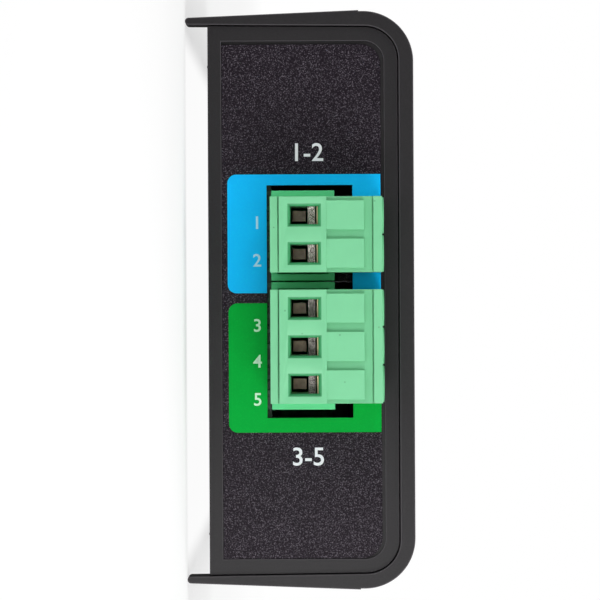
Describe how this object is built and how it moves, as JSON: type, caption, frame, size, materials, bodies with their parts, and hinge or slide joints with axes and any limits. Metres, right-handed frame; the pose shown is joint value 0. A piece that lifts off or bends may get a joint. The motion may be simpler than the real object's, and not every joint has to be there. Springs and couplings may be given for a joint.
{
  "type": "dmx splitter",
  "caption": "Flat black DIN-rail box that splits a lighting data line, with green pluggable screw terminals at both ends and a sprung rail latch on its back.",
  "frame": {"origin": "middle of the plane of the side walls' four feet, which the box lies on", "axes": "+Z out of the front face, +Y towards the output plugs, X across the width, along the rail"},
  "size_m": [0.0782, 0.124, 0.0308],
  "materials": {
    "case_black": "fine moulded grain",
    "label_black": "sparkling fine-grained film",
    "plug_green": "semi-matte moulded",
    "header_green": "semi-matte moulded",
    "board_green": "solder mask on glass laminate",
    "chip_black": "moulded epoxy",
    "can_silver": "drawn can",
    "clear_plastic": "clear polished",
    "spring_steel": "bright wire",
    "latch_black": "smooth moulded",
    "black_steel": "blackened",
    "screw_steel": "zinc plated",
    "clamp_brass": "plated, a little dull"
  },
  "bodies": {
    "housing": {"top_cover": "case_black", "base_tray": "case_black", "front_label": "label_black", "input_label": "label_black", "output_label": "label_black", "circuit_board": "board_green", "power_header": "header_green", "input_header": "header_green", "output_header": "header_green", "isolated_converter": "chip_black", "controller_chip": "chip_black", "input_isolator": "chip_black", "filter_capacitor": "can_silver", "light_guide": "clear_plastic", "latch_spring": "spring_steel", "case_screw_1": "black_steel", "case_screw_2": "black_steel", "case_screw_3": "black_steel", "case_screw_4": "black_steel"},
    "latch": {"din_latch": "latch_black"},
    "power_plug": {"power_plug": "plug_green"},
    "power_screw_1": {"power_screw_1": "screw_steel"},
    "power_clamp_1": {"power_clamp_1": "clamp_brass"},
    "power_screw_2": {"power_screw_2": "screw_steel"},
    "power_clamp_2": {"power_clamp_2": "clamp_brass"},
    "input_plug": {"input_plug": "plug_green"},
    "input_screw_1": {"input_screw_1": "screw_steel"},
    "input_clamp_1": {"input_clamp_1": "clamp_brass"},
    "input_screw_2": {"input_screw_2": "screw_steel"},
    "input_clamp_2": {"input_clamp_2": "clamp_brass"},
    "input_screw_3": {"input_screw_3": "screw_steel"},
    "input_clamp_3": {"input_clamp_3": "clamp_brass"},
    "output_1_plug": {"output_1_plug": "plug_green"},
    "output_1_screw_1": {"output_1_screw_1": "screw_steel"},
    "output_1_clamp_1": {"output_1_clamp_1": "clamp_brass"},
    "output_1_screw_2": {"output_1_screw_2": "screw_steel"},
    "output_1_clamp_2": {"output_1_clamp_2": "clamp_brass"},
    "output_1_screw_3": {"output_1_screw_3": "screw_steel"},
    "output_1_clamp_3": {"output_1_clamp_3": "clamp_brass"},
    "output_2_plug": {"output_2_plug": "plug_green"},
    "output_2_screw_1": {"output_2_screw_1": "screw_steel"},
    "output_2_clamp_1": {"output_2_clamp_1": "clamp_brass"},
    "output_2_screw_2": {"output_2_screw_2": "screw_steel"},
    "output_2_clamp_2": {"output_2_clamp_2": "clamp_brass"},
    "output_2_screw_3": {"output_2_screw_3": "screw_steel"},
    "output_2_clamp_3": {"output_2_clamp_3": "clamp_brass"},
    "output_3_plug": {"output_3_plug": "plug_green"},
    "output_3_screw_1": {"output_3_screw_1": "screw_steel"},
    "output_3_clamp_1": {"output_3_clamp_1": "clamp_brass"},
    "output_3_screw_2": {"output_3_screw_2": "screw_steel"},
    "output_3_clamp_2": {"output_3_clamp_2": "clamp_brass"},
    "output_3_screw_3": {"output_3_screw_3": "screw_steel"},
    "output_3_clamp_3": {"output_3_clamp_3": "clamp_brass"},
    "output_4_plug": {"output_4_plug": "plug_green"},
    "output_4_screw_1": {"output_4_screw_1": "screw_steel"},
    "output_4_clamp_1": {"output_4_clamp_1": "clamp_brass"},
    "output_4_screw_2": {"output_4_screw_2": "screw_steel"},
    "output_4_clamp_2": {"output_4_clamp_2": "clamp_brass"},
    "output_4_screw_3": {"output_4_screw_3": "screw_steel"},
    "output_4_clamp_3": {"output_4_clamp_3": "clamp_brass"}
  },
  "joints": [
    {"name": "din_latch_slide", "type": "slide", "parent": "housing", "child": "latch", "axis": [0, 1, 0], "range_m": [0, 0.0035], "stiffness_N_per_m": 1800, "springref_m": -0.001, "deforming": ["latch_spring"]},
    {"name": "power_plug_pull", "type": "slide", "parent": "housing", "child": "power_plug", "axis": [0, -1, 0], "range_m": [0, 0.012]},
    {"name": "input_plug_pull", "type": "slide", "parent": "housing", "child": "input_plug", "axis": [0, -1, 0], "range_m": [0, 0.012]},
    {"name": "output_1_plug_pull", "type": "slide", "parent": "housing", "child": "output_1_plug", "axis": [0, 1, 0], "range_m": [0, 0.012]},
    {"name": "output_2_plug_pull", "type": "slide", "parent": "housing", "child": "output_2_plug", "axis": [0, 1, 0], "range_m": [0, 0.012]},
    {"name": "output_3_plug_pull", "type": "slide", "parent": "housing", "child": "output_3_plug", "axis": [0, 1, 0], "range_m": [0, 0.012]},
    {"name": "output_4_plug_pull", "type": "slide", "parent": "housing", "child": "output_4_plug", "axis": [0, 1, 0], "range_m": [0, 0.012]},
    {"name": "terminal_power_1_turn", "type": "hinge", "parent": "power_plug", "child": "power_screw_1", "pos_m": [-0.01126, -0.0572, 0.0115], "axis": [0, 0, -1], "range_deg": [0, 1660]},
    {"name": "terminal_power_1_clamp", "type": "slide", "parent": "power_plug", "child": "power_clamp_1", "axis": [0, 0, 1], "range_m": [0, 0.0023]},
    {"name": "terminal_power_2_turn", "type": "hinge", "parent": "power_plug", "child": "power_screw_2", "pos_m": [-0.00618, -0.0572, 0.0115], "axis": [0, 0, -1], "range_deg": [0, 1660]},
    {"name": "terminal_power_2_clamp", "type": "slide", "parent": "power_plug", "child": "power_clamp_2", "axis": [0, 0, 1], "range_m": [0, 0.0023]},
    {"name": "terminal_input_1_turn", "type": "hinge", "parent": "input_plug", "child": "input_screw_1", "pos_m": [0.0011, -0.0572, 0.0115], "axis": [0, 0, -1], "range_deg": [0, 1660]},
    {"name": "terminal_input_1_clamp", "type": "slide", "parent": "input_plug", "child": "input_clamp_1", "axis": [0, 0, 1], "range_m": [0, 0.0023]},
    {"name": "terminal_input_2_turn", "type": "hinge", "parent": "input_plug", "child": "input_screw_2", "pos_m": [0.00618, -0.0572, 0.0115], "axis": [0, 0, -1], "range_deg": [0, 1660]},
    {"name": "terminal_input_2_clamp", "type": "slide", "parent": "input_plug", "child": "input_clamp_2", "axis": [0, 0, 1], "range_m": [0, 0.0023]},
    {"name": "terminal_input_3_turn", "type": "hinge", "parent": "input_plug", "child": "input_screw_3", "pos_m": [0.01126, -0.0572, 0.0115], "axis": [0, 0, -1], "range_deg": [0, 1660]},
    {"name": "terminal_input_3_clamp", "type": "slide", "parent": "input_plug", "child": "input_clamp_3", "axis": [0, 0, 1], "range_m": [0, 0.0023]},
    {"name": "terminal_output_1_1_turn", "type": "hinge", "parent": "output_1_plug", "child": "output_1_screw_1", "pos_m": [-0.01778, 0.0572, 0.0115], "axis": [0, 0, -1], "range_deg": [0, 1660]},
    {"name": "terminal_output_1_1_clamp", "type": "slide", "parent": "output_1_plug", "child": "output_1_clamp_1", "axis": [0, 0, 1], "range_m": [0, 0.0023]},
    {"name": "terminal_output_1_2_turn", "type": "hinge", "parent": "output_1_plug", "child": "output_1_screw_2", "pos_m": [-0.02286, 0.0572, 0.0115], "axis": [0, 0, -1], "range_deg": [0, 1660]},
    {"name": "terminal_output_1_2_clamp", "type": "slide", "parent": "output_1_plug", "child": "output_1_clamp_2", "axis": [0, 0, 1], "range_m": [0, 0.0023]},
    {"name": "terminal_output_1_3_turn", "type": "hinge", "parent": "output_1_plug", "child": "output_1_screw_3", "pos_m": [-0.02794, 0.0572, 0.0115], "axis": [0, 0, -1], "range_deg": [0, 1660]},
    {"name": "terminal_output_1_3_clamp", "type": "slide", "parent": "output_1_plug", "child": "output_1_clamp_3", "axis": [0, 0, 1], "range_m": [0, 0.0023]},
    {"name": "terminal_output_2_1_turn", "type": "hinge", "parent": "output_2_plug", "child": "output_2_screw_1", "pos_m": [-0.00254, 0.0572, 0.0115], "axis": [0, 0, -1], "range_deg": [0, 1660]},
    {"name": "terminal_output_2_1_clamp", "type": "slide", "parent": "output_2_plug", "child": "output_2_clamp_1", "axis": [0, 0, 1], "range_m": [0, 0.0023]},
    {"name": "terminal_output_2_2_turn", "type": "hinge", "parent": "output_2_plug", "child": "output_2_screw_2", "pos_m": [-0.00762, 0.0572, 0.0115], "axis": [0, 0, -1], "range_deg": [0, 1660]},
    {"name": "terminal_output_2_2_clamp", "type": "slide", "parent": "output_2_plug", "child": "output_2_clamp_2", "axis": [0, 0, 1], "range_m": [0, 0.0023]},
    {"name": "terminal_output_2_3_turn", "type": "hinge", "parent": "output_2_plug", "child": "output_2_screw_3", "pos_m": [-0.0127, 0.0572, 0.0115], "axis": [0, 0, -1], "range_deg": [0, 1660]},
    {"name": "terminal_output_2_3_clamp", "type": "slide", "parent": "output_2_plug", "child": "output_2_clamp_3", "axis": [0, 0, 1], "range_m": [0, 0.0023]},
    {"name": "terminal_output_3_1_turn", "type": "hinge", "parent": "output_3_plug", "child": "output_3_screw_1", "pos_m": [0.0127, 0.0572, 0.0115], "axis": [0, 0, -1], "range_deg": [0, 1660]},
    {"name": "terminal_output_3_1_clamp", "type": "slide", "parent": "output_3_plug", "child": "output_3_clamp_1", "axis": [0, 0, 1], "range_m": [0, 0.0023]},
    {"name": "terminal_output_3_2_turn", "type": "hinge", "parent": "output_3_plug", "child": "output_3_screw_2", "pos_m": [0.00762, 0.0572, 0.0115], "axis": [0, 0, -1], "range_deg": [0, 1660]},
    {"name": "terminal_output_3_2_clamp", "type": "slide", "parent": "output_3_plug", "child": "output_3_clamp_2", "axis": [0, 0, 1], "range_m": [0, 0.0023]},
    {"name": "terminal_output_3_3_turn", "type": "hinge", "parent": "output_3_plug", "child": "output_3_screw_3", "pos_m": [0.00254, 0.0572, 0.0115], "axis": [0, 0, -1], "range_deg": [0, 1660]},
    {"name": "terminal_output_3_3_clamp", "type": "slide", "parent": "output_3_plug", "child": "output_3_clamp_3", "axis": [0, 0, 1], "range_m": [0, 0.0023]},
    {"name": "terminal_output_4_1_turn", "type": "hinge", "parent": "output_4_plug", "child": "output_4_screw_1", "pos_m": [0.02794, 0.0572, 0.0115], "axis": [0, 0, -1], "range_deg": [0, 1660]},
    {"name": "terminal_output_4_1_clamp", "type": "slide", "parent": "output_4_plug", "child": "output_4_clamp_1", "axis": [0, 0, 1], "range_m": [0, 0.0023]},
    {"name": "terminal_output_4_2_turn", "type": "hinge", "parent": "output_4_plug", "child": "output_4_screw_2", "pos_m": [0.02286, 0.0572, 0.0115], "axis": [0, 0, -1], "range_deg": [0, 1660]},
    {"name": "terminal_output_4_2_clamp", "type": "slide", "parent": "output_4_plug", "child": "output_4_clamp_2", "axis": [0, 0, 1], "range_m": [0, 0.0023]},
    {"name": "terminal_output_4_3_turn", "type": "hinge", "parent": "output_4_plug", "child": "output_4_screw_3", "pos_m": [0.01778, 0.0572, 0.0115], "axis": [0, 0, -1], "range_deg": [0, 1660]},
    {"name": "terminal_output_4_3_clamp", "type": "slide", "parent": "output_4_plug", "child": "output_4_clamp_3", "axis": [0, 0, 1], "range_m": [0, 0.0023]}
  ],
  "couplings": [
    {"joint": "terminal_power_1_turn", "follows": "terminal_power_1_clamp", "rad_per_m": 12566},
    {"joint": "terminal_power_2_turn", "follows": "terminal_power_2_clamp", "rad_per_m": 12566},
    {"joint": "terminal_input_1_turn", "follows": "terminal_input_1_clamp", "rad_per_m": 12566},
    {"joint": "terminal_input_2_turn", "follows": "terminal_input_2_clamp", "rad_per_m": 12566},
    {"joint": "terminal_input_3_turn", "follows": "terminal_input_3_clamp", "rad_per_m": 12566},
    {"joint": "terminal_output_1_1_turn", "follows": "terminal_output_1_1_clamp", "rad_per_m": 12566},
    {"joint": "terminal_output_1_2_turn", "follows": "terminal_output_1_2_clamp", "rad_per_m": 12566},
    {"joint": "terminal_output_1_3_turn", "follows": "terminal_output_1_3_clamp", "rad_per_m": 12566},
    {"joint": "terminal_output_2_1_turn", "follows": "terminal_output_2_1_clamp", "rad_per_m": 12566},
    {"joint": "terminal_output_2_2_turn", "follows": "terminal_output_2_2_clamp", "rad_per_m": 12566},
    {"joint": "terminal_output_2_3_turn", "follows": "terminal_output_2_3_clamp", "rad_per_m": 12566},
    {"joint": "terminal_output_3_1_turn", "follows": "terminal_output_3_1_clamp", "rad_per_m": 12566},
    {"joint": "terminal_output_3_2_turn", "follows": "terminal_output_3_2_clamp", "rad_per_m": 12566},
    {"joint": "terminal_output_3_3_turn", "follows": "terminal_output_3_3_clamp", "rad_per_m": 12566},
    {"joint": "terminal_output_4_1_turn", "follows": "terminal_output_4_1_clamp", "rad_per_m": 12566},
    {"joint": "terminal_output_4_2_turn", "follows": "terminal_output_4_2_clamp", "rad_per_m": 12566},
    {"joint": "terminal_output_4_3_turn", "follows": "terminal_output_4_3_clamp", "rad_per_m": 12566}
  ]
}
